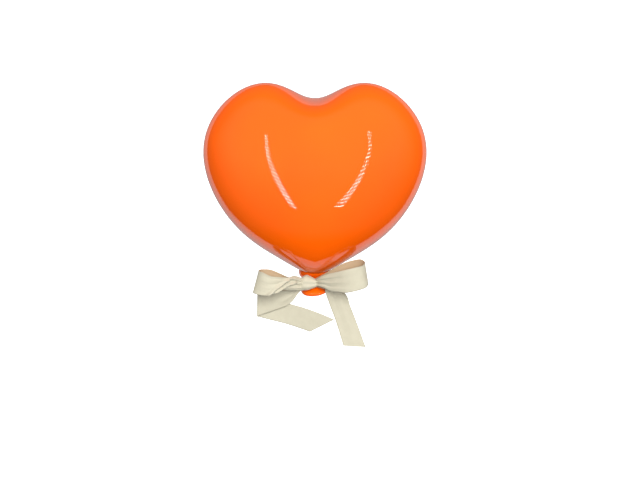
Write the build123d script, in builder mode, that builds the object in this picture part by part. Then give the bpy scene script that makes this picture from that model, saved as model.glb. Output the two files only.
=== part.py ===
"""Heart balloon wall ornament with a tied ribbon bow, in millimetres.

The heart is two bonded shells with a hollow inside. The neck and its rolled lip plug into the foot of
the heart, and a satin ribbon is tied round the neck in a bow. A D-ring hanger sits in a pocket in the
back. The origin is the hanging eye: the top of the ring's opening, on the wall plane. +Z is up, and
the front of the heart faces -Y.
"""

from build123d import *
import math
import os

# Heart
HEART_WIDTH = 221.0
HEART_HEIGHT = 192.5
FRONT_DEPTH = 62.0
BACK_DEPTH = 40.0
SHELL_WALL = 3.0
# The outline is a sum of harmonics: sines share out half the width, cosines half the height.
WIDTH_SHARES = (0.878, 0.0535, -0.1118, -0.022)
HEIGHT_SHARES = (1.049, -0.0953, -0.1259, -0.0503, -0.0097, -0.0178)
OUTLINE_POINTS = 48
SECTIONS = 10
CROWN_ANGLE = 4.0  # where a dome's last section lies, in degrees from its crown
RIB_HEIGHT = 3.0  # how far the back shell's locating rib stands into the front shell
RIB_THICKNESS = 1.6
RIB_ROOT = 12.0  # how deep in the back shell the rib starts
RIB_CLEARANCE = 0.6
BOND_GAP = 0.05

# Neck and lip
NECK_RADIUS = 8.5
NECK_STRAIGHT = 6.0
# The neck is flattened above its tie: drop from its top, half width and half depth of each section.
NECK_SECTIONS = ((0.0, 16.5, 12.5), (4.0, 16.4, 9.6), (7.6, 15.4, 9.2), (9.4, 13.0, 8.9), (10.6, 8.6, 8.55))
SPIGOT_RADIUS = 10.5
SPIGOT_LENGTH = 9.0
FOOT_OVERLAP = 5.0  # how far the neck's wide end reaches up into the foot of the heart
LIP_RADIUS = 14.0
LIP_THICKNESS = 3.2
LIP_DROP = 5.0
LIP_ROOT = 1.5  # how far above the lip its flare starts
LIP_TILT = 9.0  # the front of the lip sits lower
LIP_ROLL = -5.0  # the right end of the lip sits higher
MOUTH_RADIUS = 5.5
MOUTH_DEPTH = 12.0

# Ribbon
RIBBON_WIDTH = 25.0
RIBBON_THICKNESS = 0.8
FABRIC_GAP = 0.3
BAND_HEIGHT = 5.4
KNOT_WIDTH = 19.0
KNOT_HEIGHT = 13.0
KNOT_DEPTH = 8.5
KNOT_FLAT = 0.4  # how much of the knot's ends stays flat
KNOT_RISE = 2.6  # how far the knot's middle stands above the tie
LEFT_LOOP_REACH = 60.0
RIGHT_LOOP_REACH = 52.0
LOOP_DEPTH = 21.0
LOOP_SETBACK = 3.0  # how far the loops' rear layer stands in front of the neck band
LOOP_RISE = 1.5  # how far the loops' middle stands above the knot's
LOOP_BELLY = 0.55  # where a loop is deepest, as a share of its reach
LOOP_WAIST = 0.4  # where a loop's gathers have opened, as a share of its reach
LOOP_ROOT_HEIGHT = 10.0
LOOP_WAIST_SPREAD = 3.0
RIGHT_LOOP_RISE = 6.0
LEFT_TAIL_REACH = 57.0
LEFT_TAIL_RETURN = 76.0
LEFT_TAIL_SLOPE = 16.5
LEFT_TAIL_ROOT = 9.0
LEFT_ROOT_SHARE = 0.42  # how much of the ribbon's width shows where the left tail starts
LIP_CLEARANCE = 1.0
RIGHT_TAIL_DROP = 8.5  # from the loops' level to where the right tail starts
RIGHT_TAIL_LENGTH = 59.0
RIGHT_TAIL_LEAN = 20.0
RIGHT_TAIL_TUCK = 2.0  # how far the right tail starts inside the lip's right end
TAIL_SPREAD = 20.5  # how wide a tail shows with its lengthwise crease
TAIL_THICKNESS = 1.0
FOLD_GAP = 3.0

# Hanger
STRAP_WIDTH = 12.0
STRAP_LENGTH = 28.0
STRAP_THICKNESS = 0.9
WIRE_RADIUS = 1.1
WIRE_CLEARANCE = 0.06
RING_WIDTH = 15.0
RING_HEIGHT = 13.0
SCREW_RADIUS = 1.3
SCREW_LENGTH = 7.5
SCREW_HEAD_RADIUS = 2.8
SCREW_HEAD_HEIGHT = 1.7
SCREW_SPACING = 11.0
SCREW_MARGIN = 5.0
SCREW_HEAD_ROUND = 1.0
SCREW_CLEARANCE = 0.04
PIVOT_ABOVE_CENTRE = 30.0
POCKET_DEPTH = 7.0
POCKET_MARGIN = 6.0
POCKET_CORNER = 5.0
BOSS_RADIUS = 4.0
BOSS_OVERLAP = 0.5
BOSS_COVER = 2.0
CUT_MARGIN = 1.0

# Pads on the back
PAD_RADIUS = 6.0
PAD_THICKNESS = 1.6
PAD_ROUND = 0.5
PAD_SEAT_MARGIN = 1.0
PAD_SEAT_HEIGHT = 4.0
PAD_PLACES = ((-44.0, 12.0), (44.0, 12.0), (0.0, -54.0))

# Places that follow from the sizes above. The heart's centre is named by its distance from the origin.
EYE_ABOVE_PIVOT = RING_HEIGHT
HEART_Z = -(PIVOT_ABOVE_CENTRE + EYE_ABOVE_PIVOT)
HEART_Y = -(BACK_DEPTH + PAD_THICKNESS)
POCKET_FLOOR = BACK_DEPTH - POCKET_DEPTH
BARREL_RADIUS = WIRE_RADIUS + WIRE_CLEARANCE + STRAP_THICKNESS
PIVOT_Y = POCKET_FLOOR + BARREL_RADIUS
PIVOT_Z = PIVOT_ABOVE_CENTRE


def heart_point(turn, level, half_width, half_height):
    """Point of one contour of the heart, at a turn from straight up. Level 1 is the rim, 0 the crown."""
    x = sum(share * level**k * math.sin(k * turn) for k, share in enumerate(WIDTH_SHARES, 1))
    z = sum(share * level**k * math.cos(k * turn) for k, share in enumerate(HEIGHT_SHARES, 1))
    return half_width * x, half_height * z


FOOT_Z = heart_point(math.pi, 1.0, HEART_WIDTH / 2, HEART_HEIGHT / 2)[1]
NECK_TOP = FOOT_Z + FOOT_OVERLAP
STRAIGHT_TOP = NECK_TOP - NECK_SECTIONS[-1][0]
STRAIGHT_FOOT = STRAIGHT_TOP - NECK_STRAIGHT
TIE_Z = (STRAIGHT_TOP + STRAIGHT_FOOT) / 2
KNOT_Z = TIE_Z + KNOT_RISE
LIP_Z = STRAIGHT_FOOT - LIP_DROP
BAND_RADIUS = NECK_RADIUS + BOND_GAP + RIBBON_THICKNESS
KNOT_Y = -(BAND_RADIUS + FABRIC_GAP)
LOOP_BACK_Y = -(BAND_RADIUS + LOOP_SETBACK + KNOT_DEPTH / 2)
LOOP_Z = KNOT_Z + LOOP_RISE


def facing_front(y, z=0.0):
    """Plane parallel to the wall, at a depth and height from the heart's centre, drawn from the front."""
    return Plane(origin=(0, HEART_Y + y, HEART_Z + z), x_dir=(1, 0, 0), z_dir=(0, -1, 0))


def seen_from_above(z, y=0.0):
    """Level plane at a height from the heart's centre."""
    return Plane(origin=(0, HEART_Y + y, HEART_Z + z), x_dir=(1, 0, 0), z_dir=(0, 0, 1))


def contour(y, level, half_width, half_height):
    """One contour of the heart, filled."""
    with BuildSketch(facing_front(y)) as section:
        with BuildLine():
            turns = [2 * math.pi * i / OUTLINE_POINTS for i in range(OUTLINE_POINTS)]
            Spline(*[heart_point(t, level, half_width, half_height) for t in turns], periodic=True)
        make_face()
    return section.sketch.face()


def front_sections(wall):
    """Contours of the front dome, from the rim to the crown, with its surface set in by a wall."""
    half_width, half_height = HEART_WIDTH / 2 - wall, HEART_HEIGHT / 2 - wall
    sections = []
    for i in range(SECTIONS + 1):
        angle = math.radians(90 - (90 - CROWN_ANGLE) * i / SECTIONS)
        y = -(FRONT_DEPTH - wall) * math.cos(angle)
        sections.append(contour(y, math.sin(angle), half_width, half_height))
    return sections


def back_sections(wall):
    """Contours of the flatter back, from the rim to the crown, with its surface set in by a wall."""
    half_width, half_height = HEART_WIDTH / 2 - wall, HEART_HEIGHT / 2 - wall
    sections = []
    for i in range(SECTIONS + 1):
        angle = math.radians(90 - (90 - CROWN_ANGLE) * i / SECTIONS)
        y = (BACK_DEPTH - wall) * math.cos(angle)
        sections.append(contour(y, math.sqrt(math.sin(angle)), half_width, half_height))
    return sections


def neck_form(gap):
    """The neck without its mouth, grown by a gap. It also cuts the hole in the foot of the shells."""
    with BuildPart() as form:
        for drop, half_width, half_depth in NECK_SECTIONS:
            lift = 0 if drop else gap
            with BuildSketch(seen_from_above(NECK_TOP + lift - drop)):
                Ellipse(half_width + gap, half_depth + gap)
        loft()
        with BuildSketch(seen_from_above(LIP_Z)):
            Circle(NECK_RADIUS + gap)
        extrude(amount=STRAIGHT_TOP - LIP_Z + NECK_RADIUS)
        with BuildSketch(seen_from_above(STRAIGHT_TOP + NECK_RADIUS)):
            Circle(SPIGOT_RADIUS + gap)
        extrude(amount=NECK_TOP + SPIGOT_LENGTH + gap - STRAIGHT_TOP - NECK_RADIUS)
    return form.part


foot_hole = neck_form(BOND_GAP)

with BuildPart() as neck_and_lip:
    add(neck_form(0))
    lip_plane = seen_from_above(LIP_Z).rotated((LIP_TILT, LIP_ROLL, 0))
    with BuildSketch(Plane(origin=lip_plane.origin, x_dir=lip_plane.x_dir, z_dir=-lip_plane.y_dir)):
        with BuildLine():
            Polyline((0, LIP_THICKNESS), (0, -LIP_THICKNESS / 2))
            Polyline((0, -LIP_THICKNESS / 2), (LIP_RADIUS - LIP_THICKNESS / 2, -LIP_THICKNESS / 2))
            ThreePointArc(
                (LIP_RADIUS - LIP_THICKNESS / 2, -LIP_THICKNESS / 2),
                (LIP_RADIUS, 0),
                (LIP_RADIUS - LIP_THICKNESS / 2, LIP_THICKNESS / 2),
            )
            Spline(
                (LIP_RADIUS - LIP_THICKNESS / 2, LIP_THICKNESS / 2),
                (NECK_RADIUS, LIP_THICKNESS + LIP_ROOT),
                tangents=((-1, 0), (-0.3, 1)),
            )
            Polyline((NECK_RADIUS, LIP_THICKNESS + LIP_ROOT), (0, LIP_THICKNESS + LIP_ROOT))
            Line((0, LIP_THICKNESS + LIP_ROOT), (0, LIP_THICKNESS))
        make_face()
    revolve(axis=Axis(lip_plane.origin, lip_plane.z_dir))
    with BuildSketch(lip_plane.offset(-LIP_THICKNESS / 2)):
        Circle(MOUTH_RADIUS)
    extrude(amount=MOUTH_DEPTH, mode=Mode.SUBTRACT)
neck_and_lip.part.label = "neck_and_lip"

with BuildPart() as front_shell:
    loft(sections=front_sections(0))
    loft(sections=front_sections(SHELL_WALL), mode=Mode.SUBTRACT)
    add(foot_hole, mode=Mode.SUBTRACT)
front_shell.part.label = "front_shell"

with BuildPart() as back_form:
    loft(sections=back_sections(0))

POCKET_WIDTH = RING_WIDTH + 2 * WIRE_RADIUS + 2 * POCKET_MARGIN
POCKET_TOP = PIVOT_Z + RING_HEIGHT + 2 * WIRE_RADIUS + POCKET_MARGIN
POCKET_FOOT = PIVOT_Z - STRAP_LENGTH - POCKET_MARGIN
POCKET_HEIGHT = POCKET_TOP - POCKET_FOOT
POCKET_Z = (POCKET_TOP + POCKET_FOOT) / 2
SCREW_PLACES = [(0, PIVOT_Z - STRAP_LENGTH + SCREW_MARGIN + i * SCREW_SPACING) for i in range(2)]

with BuildPart() as pocket_block:
    with BuildSketch(facing_front(BACK_DEPTH, POCKET_Z)):
        RectangleRounded(
            POCKET_WIDTH + 2 * SHELL_WALL,
            POCKET_HEIGHT + 2 * SHELL_WALL,
            POCKET_CORNER + SHELL_WALL,
        )
    extrude(amount=POCKET_DEPTH + SHELL_WALL)
    add(back_form.part, mode=Mode.INTERSECT)

with BuildPart() as locating_rib:
    for inset, mode in ((RIB_CLEARANCE, Mode.ADD), (RIB_CLEARANCE + RIB_THICKNESS, Mode.SUBTRACT)):
        wall = SHELL_WALL + inset
        rib_face = contour(RIB_ROOT, 1.0, HEART_WIDTH / 2 - wall, HEART_HEIGHT / 2 - wall)
        extrude(rib_face, amount=RIB_ROOT + RIB_HEIGHT, mode=mode)

with BuildPart() as back_shell:
    add(back_form.part)
    loft(sections=back_sections(SHELL_WALL), mode=Mode.SUBTRACT)
    add(pocket_block.part)
    with BuildSketch(facing_front(POCKET_FLOOR - SHELL_WALL + BOSS_OVERLAP)):
        with Locations(*SCREW_PLACES):
            Circle(BOSS_RADIUS)
    extrude(amount=SCREW_LENGTH - SHELL_WALL + BOSS_OVERLAP + BOSS_COVER)
    with BuildSketch(facing_front(BACK_DEPTH)):
        with Locations(*PAD_PLACES):
            Circle(PAD_RADIUS + PAD_SEAT_MARGIN)
    extrude(amount=PAD_SEAT_HEIGHT)
    with BuildSketch(facing_front(BACK_DEPTH + CUT_MARGIN, POCKET_Z)):
        RectangleRounded(POCKET_WIDTH, POCKET_HEIGHT, POCKET_CORNER)
    extrude(amount=POCKET_DEPTH + CUT_MARGIN, mode=Mode.SUBTRACT)
    with BuildSketch(facing_front(POCKET_FLOOR)):
        with Locations(*SCREW_PLACES):
            Circle(SCREW_RADIUS + SCREW_CLEARANCE)
    extrude(amount=SCREW_LENGTH + CUT_MARGIN, mode=Mode.SUBTRACT)
    add(locating_rib.part)
    add(foot_hole, mode=Mode.SUBTRACT)
back_shell.part.label = "back_shell"

with BuildPart() as hanger_strap:
    with BuildSketch(Plane(origin=(-STRAP_WIDTH / 2, HEART_Y, HEART_Z), x_dir=(0, 1, 0), z_dir=(1, 0, 0))):
        with Locations((PIVOT_Y, PIVOT_Z)):
            Circle(BARREL_RADIUS)
        with Locations((POCKET_FLOOR + STRAP_THICKNESS / 2, PIVOT_Z - STRAP_LENGTH / 2)):
            Rectangle(STRAP_THICKNESS, STRAP_LENGTH)
        with Locations((PIVOT_Y, PIVOT_Z)):
            Circle(WIRE_RADIUS + WIRE_CLEARANCE, mode=Mode.SUBTRACT)
    extrude(amount=STRAP_WIDTH)
    with BuildSketch(facing_front(POCKET_FLOOR + STRAP_THICKNESS)):
        with Locations(*SCREW_PLACES):
            Circle(SCREW_RADIUS + SCREW_CLEARANCE)
    extrude(amount=STRAP_THICKNESS, mode=Mode.SUBTRACT)
hanger_strap.part.label = "hanger_strap"

with BuildPart() as hanger_screws:
    with BuildSketch(facing_front(POCKET_FLOOR + STRAP_THICKNESS)):
        with Locations(*SCREW_PLACES):
            Circle(SCREW_RADIUS)
    extrude(amount=SCREW_LENGTH)
    with BuildSketch(facing_front(POCKET_FLOOR + STRAP_THICKNESS)):
        with Locations(*SCREW_PLACES):
            Circle(SCREW_HEAD_RADIUS)
    extrude(amount=-SCREW_HEAD_HEIGHT)
    fillet(hanger_screws.edges().filter_by(GeomType.CIRCLE).group_by(Axis.Y)[-1], SCREW_HEAD_ROUND)
hanger_screws.part.label = "hanger_screws"

# At rest the ring leans back until its wire lies against the pocket's floor.
RING_LEAN = math.degrees(math.asin((BARREL_RADIUS - WIRE_RADIUS - BOND_GAP) / (RING_HEIGHT + WIRE_RADIUS)))
ring_plane = Plane(
    origin=(0, HEART_Y + PIVOT_Y, HEART_Z + PIVOT_Z),
    x_dir=(1, 0, 0),
    z_dir=(0, -math.cos(math.radians(RING_LEAN)), -math.sin(math.radians(RING_LEAN))),
)
with BuildPart() as hanger_ring:
    half = RING_WIDTH / 2 + WIRE_RADIUS
    shoulder = RING_HEIGHT + WIRE_RADIUS - half
    corner = 2 * WIRE_RADIUS
    with BuildLine(ring_plane) as ring_path:
        Line((0, 0), (half - corner, 0))
        RadiusArc((half - corner, 0), (half, corner), -corner)
        Line((half, corner), (half, shoulder))
        ThreePointArc((half, shoulder), (0, shoulder + half), (-half, shoulder))
        Line((-half, shoulder), (-half, corner))
        RadiusArc((-half, corner), (-half + corner, 0), -corner)
        Line((-half + corner, 0), (0, 0))
    with BuildSketch(Plane(origin=ring_plane.origin, z_dir=(1, 0, 0))):
        Circle(WIRE_RADIUS)
    sweep(path=ring_path.wires()[0])
hanger_ring.part.label = "hanger_ring"

with BuildPart() as wall_bumpers:
    with BuildSketch(facing_front(BACK_DEPTH + PAD_THICKNESS)):
        with Locations(*PAD_PLACES):
            Circle(PAD_RADIUS)
    extrude(amount=PAD_THICKNESS)
    fillet(wall_bumpers.edges().filter_by(GeomType.CIRCLE).group_by(Axis.Y)[-1], PAD_ROUND)
wall_bumpers.part.label = "wall_bumpers"

with BuildPart() as neck_band:
    with BuildSketch(seen_from_above(TIE_Z - BAND_HEIGHT / 2)):
        Circle(BAND_RADIUS)
        Circle(NECK_RADIUS + BOND_GAP, mode=Mode.SUBTRACT)
    extrude(amount=BAND_HEIGHT)
neck_band.part.label = "neck_band"

with BuildPart() as bow_knot:
    with BuildSketch(seen_from_above(KNOT_Z - KNOT_HEIGHT / 2, KNOT_Y - KNOT_DEPTH / 2)):
        RectangleRounded(KNOT_WIDTH, KNOT_DEPTH, (KNOT_DEPTH - KNOT_FLAT) / 2)
    extrude(amount=KNOT_HEIGHT)
    fillet(bow_knot.faces().filter_by(Axis.Z).edges(), RIBBON_THICKNESS * 2)
bow_knot.part.label = "bow_knot"


def bow_loop(side, reach, rise):
    """A teardrop of ribbon seen from above, trimmed from the front to the ribbon's height."""
    start = side * (KNOT_WIDTH / 2 + FABRIC_GAP)
    middle_y = KNOT_Y - KNOT_DEPTH / 2
    half_depth = LOOP_DEPTH / 2
    centre_y = LOOP_BACK_Y - half_depth
    waist = LOOP_ROOT_HEIGHT / 2 + LOOP_WAIST_SPREAD
    with BuildPart() as loop:
        with BuildSketch(seen_from_above(LOOP_Z - RIBBON_WIDTH)):
            for inset, mode in ((0, Mode.ADD), (RIBBON_THICKNESS, Mode.SUBTRACT)):
                root = 2 * RIBBON_THICKNESS - inset
                with BuildLine():
                    Spline(
                        (start, middle_y + root),
                        (side * reach * LOOP_BELLY, centre_y + half_depth - inset),
                        (side * (reach - inset), centre_y),
                        (side * reach * LOOP_BELLY, centre_y - half_depth + inset),
                        (start, middle_y - root),
                    )
                    Line((start, middle_y - root), (start, middle_y + root))
                make_face(mode=mode)
        extrude(amount=2 * RIBBON_WIDTH)
        with BuildSketch(facing_front(0, LOOP_Z)):
            with BuildLine():
                Polyline(
                    (start, LOOP_ROOT_HEIGHT / 2),
                    (side * reach * LOOP_WAIST, rise / 2 + waist),
                    (side * (reach + CUT_MARGIN), RIBBON_WIDTH / 2 + rise),
                    (side * (reach + CUT_MARGIN), rise - RIBBON_WIDTH / 2),
                    (side * reach * LOOP_WAIST, rise / 2 - waist),
                    (start, -LOOP_ROOT_HEIGHT / 2),
                    close=True,
                )
            make_face()
        extrude(amount=4 * LOOP_DEPTH, mode=Mode.INTERSECT)
    return loop.part


bow_loop_left = bow_loop(-1, LEFT_LOOP_REACH, 0.0)
bow_loop_left.label = "bow_loop_left"
bow_loop_right = bow_loop(1, RIGHT_LOOP_REACH, RIGHT_LOOP_RISE)
bow_loop_right.label = "bow_loop_right"

# The left tail runs outwards behind its loop, folds back on itself and returns under the lip.
TAIL_FRONT_Y = -(BAND_RADIUS + 2 * FABRIC_GAP)
LEFT_START = -(LIP_RADIUS + LIP_CLEARANCE)
LEFT_TOP = KNOT_Z
LEFT_SLOPE = math.tan(math.radians(LEFT_TAIL_SLOPE))
FOLD_DROP = LEFT_SLOPE * (LEFT_TAIL_REACH + LEFT_START)
with BuildPart() as tail_left:
    fold_top = LEFT_TOP - FOLD_DROP
    fold_foot = fold_top - RIBBON_WIDTH
    root_x = LEFT_START - LEFT_TAIL_ROOT
    with BuildSketch(facing_front(TAIL_FRONT_Y)):
        with BuildLine():
            Polyline(
                (LEFT_START, LEFT_TOP),
                (LEFT_START, LEFT_TOP - RIBBON_WIDTH * LEFT_ROOT_SHARE),
                (root_x, fold_foot + LEFT_SLOPE * (LEFT_TAIL_REACH + root_x)),
                (-LEFT_TAIL_REACH, fold_foot),
                (-LEFT_TAIL_REACH, fold_top),
                close=True,
            )
        make_face()
    extrude(amount=TAIL_THICKNESS)
    with BuildSketch(facing_front(TAIL_FRONT_Y + FOLD_GAP)):
        with BuildLine():
            cut_x = LEFT_TAIL_RETURN - LEFT_TAIL_REACH
            Polyline(
                (-LEFT_TAIL_REACH, fold_top),
                (cut_x, fold_top - LEFT_SLOPE * LEFT_TAIL_RETURN),
                (cut_x - RIBBON_WIDTH, fold_foot - LEFT_SLOPE * (LEFT_TAIL_RETURN - RIBBON_WIDTH)),
                (-LEFT_TAIL_REACH, fold_foot),
                close=True,
            )
        make_face()
    extrude(amount=TAIL_THICKNESS)
    with BuildSketch(facing_front(TAIL_FRONT_Y + FOLD_GAP, (fold_top + fold_foot) / 2)):
        with Locations((-LEFT_TAIL_REACH + TAIL_THICKNESS / 2, 0)):
            Rectangle(TAIL_THICKNESS, RIBBON_WIDTH)
    extrude(amount=FOLD_GAP + TAIL_THICKNESS)
tail_left.part.label = "tail_left"

# The right tail hangs below its loop and leans outwards.
RIGHT_TOP = LOOP_Z - RIGHT_TAIL_DROP
with BuildPart() as tail_right:
    lean = math.tan(math.radians(RIGHT_TAIL_LEAN))
    with BuildSketch(facing_front(TAIL_FRONT_Y)):
        with BuildLine():
            left_x = LIP_RADIUS - RIGHT_TAIL_TUCK
            Polyline(
                (left_x, RIGHT_TOP),
                (left_x + TAIL_SPREAD, RIGHT_TOP),
                (left_x + TAIL_SPREAD + lean * RIGHT_TAIL_LENGTH, RIGHT_TOP - RIGHT_TAIL_LENGTH),
                (left_x + lean * RIGHT_TAIL_LENGTH, RIGHT_TOP - RIGHT_TAIL_LENGTH),
                close=True,
            )
        make_face()
    extrude(amount=TAIL_THICKNESS)
tail_right.part.label = "tail_right"

os.makedirs("parts", exist_ok=True)
PIECES = (
    neck_and_lip.part,
    front_shell.part,
    back_shell.part,
    hanger_strap.part,
    hanger_screws.part,
    hanger_ring.part,
    wall_bumpers.part,
    neck_band.part,
    bow_knot.part,
    bow_loop_left,
    bow_loop_right,
    tail_left.part,
    tail_right.part,
)
for piece in PIECES:
    export_step(piece, f"parts/{piece.label}.step")
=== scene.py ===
"""Looks of the heart balloon wall ornament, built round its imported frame.

Lengths are in metres. The ribbon edges, folds and pleats and the neck's profile and levels are in
millimetres from the middle of the heart: x to the right, y towards the wall, z up.
"""

import math

import bmesh
import bpy
from mathutils import Matrix, Vector


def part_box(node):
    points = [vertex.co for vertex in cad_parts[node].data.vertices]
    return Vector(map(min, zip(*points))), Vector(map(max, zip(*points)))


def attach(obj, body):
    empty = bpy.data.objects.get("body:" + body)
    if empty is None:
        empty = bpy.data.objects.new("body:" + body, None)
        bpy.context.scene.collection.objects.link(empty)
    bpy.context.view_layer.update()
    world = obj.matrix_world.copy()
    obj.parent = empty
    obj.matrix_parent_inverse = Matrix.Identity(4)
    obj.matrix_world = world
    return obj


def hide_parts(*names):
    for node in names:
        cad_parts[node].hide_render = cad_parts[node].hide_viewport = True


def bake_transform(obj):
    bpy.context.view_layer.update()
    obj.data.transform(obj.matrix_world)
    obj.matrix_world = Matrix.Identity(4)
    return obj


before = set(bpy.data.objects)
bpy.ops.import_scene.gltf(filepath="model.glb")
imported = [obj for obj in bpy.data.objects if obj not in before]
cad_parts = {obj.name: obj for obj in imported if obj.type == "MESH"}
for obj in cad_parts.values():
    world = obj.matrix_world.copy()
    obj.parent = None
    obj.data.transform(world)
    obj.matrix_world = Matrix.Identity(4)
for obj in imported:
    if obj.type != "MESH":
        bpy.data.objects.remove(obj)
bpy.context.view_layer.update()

bl_info = {
    "name": "Heart Balloon Ornament",
    "version": (1, 0, 0),
    "blender": (4, 5, 0),
    "location": "View3D > Sidebar > Ornament",
    "description": "Builds a glossy heart balloon with a satin bow and its wall hanger",
    "category": "Add Mesh",
}

MM = 0.001
FULL_TURN = 2 * math.pi

# The heart's outline is a sum of harmonics: sines share out half the width, cosines half the height.
WIDTH_SHARES = (0.878, 0.0535, -0.1118, -0.022)
HEIGHT_SHARES = (1.049, -0.0953, -0.1259, -0.0503, -0.0097, -0.0178)
HEIGHT_TO_WIDTH = 192.5 / 221.0
OUTLINE_WIDTH = 1.9994  # how wide the sum of sines comes out, in half widths


def heart_point(turn, level, half_width, half_height):
    """Point of one contour of the heart, at a turn from straight up. Level 1 is the rim, 0 the crown."""
    x = sum(share * level**k * math.sin(k * turn) for k, share in enumerate(WIDTH_SHARES, 1))
    z = sum(share * level**k * math.cos(k * turn) for k, share in enumerate(HEIGHT_SHARES, 1))
    return half_width * x, half_height * z


FRONT_LOW, FRONT_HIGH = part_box("front_shell")
BACK_LOW, BACK_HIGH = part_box("back_shell")
HALF_WIDTH = (FRONT_HIGH.x - FRONT_LOW.x) / OUTLINE_WIDTH
HALF_HEIGHT = HALF_WIDTH * HEIGHT_TO_WIDTH
LOBE_TOP = max(heart_point(math.radians(d), 1.0, HALF_WIDTH, HALF_HEIGHT)[1] for d in range(90))
CENTRE = Vector(((FRONT_HIGH.x + FRONT_LOW.x) / 2, FRONT_HIGH.y, FRONT_HIGH.z - LOBE_TOP))


def at(x, y, z):
    """Place in the frame of a point given in millimetres from the middle of the heart."""
    return CENTRE + Vector((x, y, z)) * MM


# Ribbon edges: upper edge, lower edge, height of the gathers. Each table runs along its ribbon.
LEFT_LOOP = (
    ((-10.0, -12.5, -107.5), (-10.0, -12.5, -115.3), 0.9),
    ((-17.9, -14.0, -103.5), (-18.0, -14.0, -116.5), 0.9),
    ((-25.9, -15.5, -103.6), (-25.9, -15.8, -117.0), 0.6),
    ((-34.8, -17.0, -99.4), (-34.9, -17.5, -117.5), 0.3),
    ((-43.7, -18.0, -95.5), (-44.8, -19.0, -118.7), 0.1),
    ((-51.6, -20.0, -94.4), (-54.2, -22.0, -118.1), 0.0),
    ((-55.5, -24.5, -93.9), (-60.5, -26.5, -116.6), 0.0),
    ((-55.0, -30.0, -93.4), (-61.3, -31.5, -115.7), 0.0),
    ((-50.6, -35.0, -94.0), (-55.7, -36.0, -116.4), 0.1),
    ((-43.7, -37.5, -96.6), (-47.2, -38.0, -116.7), 0.15),
    ((-35.3, -36.5, -98.1), (-39.9, -37.0, -114.5), 0.25),
    ((-27.1, -31.0, -100.0), (-32.1, -32.0, -112.6), 0.4),
    ((-19.3, -24.0, -100.2), (-22.3, -25.0, -115.0), 0.6),
    ((-10.9, -18.5, -104.9), (-11.9, -18.5, -116.2), 0.7),
)
RIGHT_LOOP = (
    ((-1.0, -12.5, -107.0), (-1.0, -12.5, -114.3), 0.8),
    ((6.0, -14.5, -102.5), (6.0, -14.5, -115.3), 0.7),
    ((13.0, -17.0, -97.7), (13.0, -16.5, -116.8), 0.4),
    ((21.4, -19.0, -92.1), (21.9, -18.5, -116.2), 0.2),
    ((30.3, -19.5, -87.6), (30.9, -20.0, -113.2), 0.1),
    ((38.7, -21.0, -84.8), (40.8, -22.0, -110.1), 0.0),
    ((45.5, -24.5, -83.1), (49.1, -26.0, -106.9), 0.0),
    ((49.3, -30.0, -84.5), (52.7, -31.5, -105.9), 0.0),
    ((46.9, -36.0, -86.3), (50.3, -37.0, -108.6), 0.0),
    ((41.3, -39.5, -87.0), (43.4, -39.5, -110.6), 0.0),
    ((35.4, -40.0, -88.4), (36.5, -40.0, -112.2), 0.05),
    ((27.6, -38.0, -90.8), (29.6, -38.0, -113.8), 0.1),
    ((21.2, -34.5, -93.4), (22.3, -34.5, -113.8), 0.2),
    ((12.9, -29.0, -96.9), (14.9, -29.5, -114.1), 0.35),
    ((6.5, -24.0, -100.5), (7.5, -24.5, -111.8), 0.5),
    ((1.0, -17.5, -105.1), (1.0, -18.0, -112.0), 0.8),
)
LEFT_TAIL = (
    ((-6.0, -10.3, -107.6), (-7.0, -10.6, -116.4), 0.8),
    ((-13.0, -10.8, -107.5), (-13.2, -12.2, -117.8), 0.8),
    ((-20.0, -12.3, -109.2), (-17.1, -13.2, -121.5), 0.5),
    ((-28.0, -13.0, -111.6), (-21.8, -11.6, -128.7), 0.3),
    ((-36.0, -13.0, -114.2), (-27.9, -10.2, -134.5), 0.15),
    ((-43.0, -12.5, -116.3), (-37.6, -9.7, -138.7), 0.0),
    ((-50.1, -11.8, -118.4), (-46.7, -9.4, -142.1), 0.0),
    ((-55.1, -10.8, -120.1), (-54.3, -9.3, -144.8), 0.0),
    ((-57.8, -8.6, -121.4), (-58.5, -8.8, -146.4), 0.0),
    ((-56.0, -7.2, -122.5), (-55.9, -7.4, -147.5), 0.0),
    ((-49.2, -6.8, -124.9), (-47.4, -6.9, -150.0), 0.0),
    ((-37.2, -6.9, -129.3), (-35.3, -6.2, -153.3), 0.0),
    ((-24.6, -7.2, -134.0), (-26.3, -5.6, -156.1), 0.0),
    ((-13.1, -7.4, -137.3), (-16.2, -5.2, -159.7), 0.0),
    ((-2.0, -7.4, -141.2), (-5.5, -5.0, -163.7), 0.0),
    ((10.0, -7.2, -146.1), (5.5, -4.8, -168.5), 0.0),
    ((22.1, -7.0, -151.7), (17.1, -4.6, -173.7), 0.0),
)
LEFT_CUT = ((19.4, -7.0, -150.4), (-5.4, -5.0, -163.9))
RIGHT_TAIL = (
    ((0.0, -12.0, -110.6), (3.0, -12.0, -107.6), 0.9),
    ((5.5, -13.0, -112.4), (12.5, -12.2, -110.0), 1.0),
    ((9.6, -13.6, -115.6), (21.0, -12.8, -114.7), 0.8),
    ((10.6, -13.2, -121.0), (30.8, -12.2, -122.1), 0.4),
    ((14.7, -11.2, -133.9), (35.2, -11.2, -134.4), 0.1),
    ((19.8, -10.6, -147.9), (40.3, -10.4, -148.1), 0.05),
    ((24.3, -10.4, -162.4), (45.6, -10.0, -162.8), 0.0),
    ((28.6, -10.3, -177.0), (50.9, -9.8, -178.0), 0.0),
    ((32.3, -10.3, -188.8), (55.6, -9.7, -190.1), 0.0),
)
RIGHT_CUT = ((28.5, -10.3, -176.8), (51.2, -9.8, -178.4))
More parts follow.
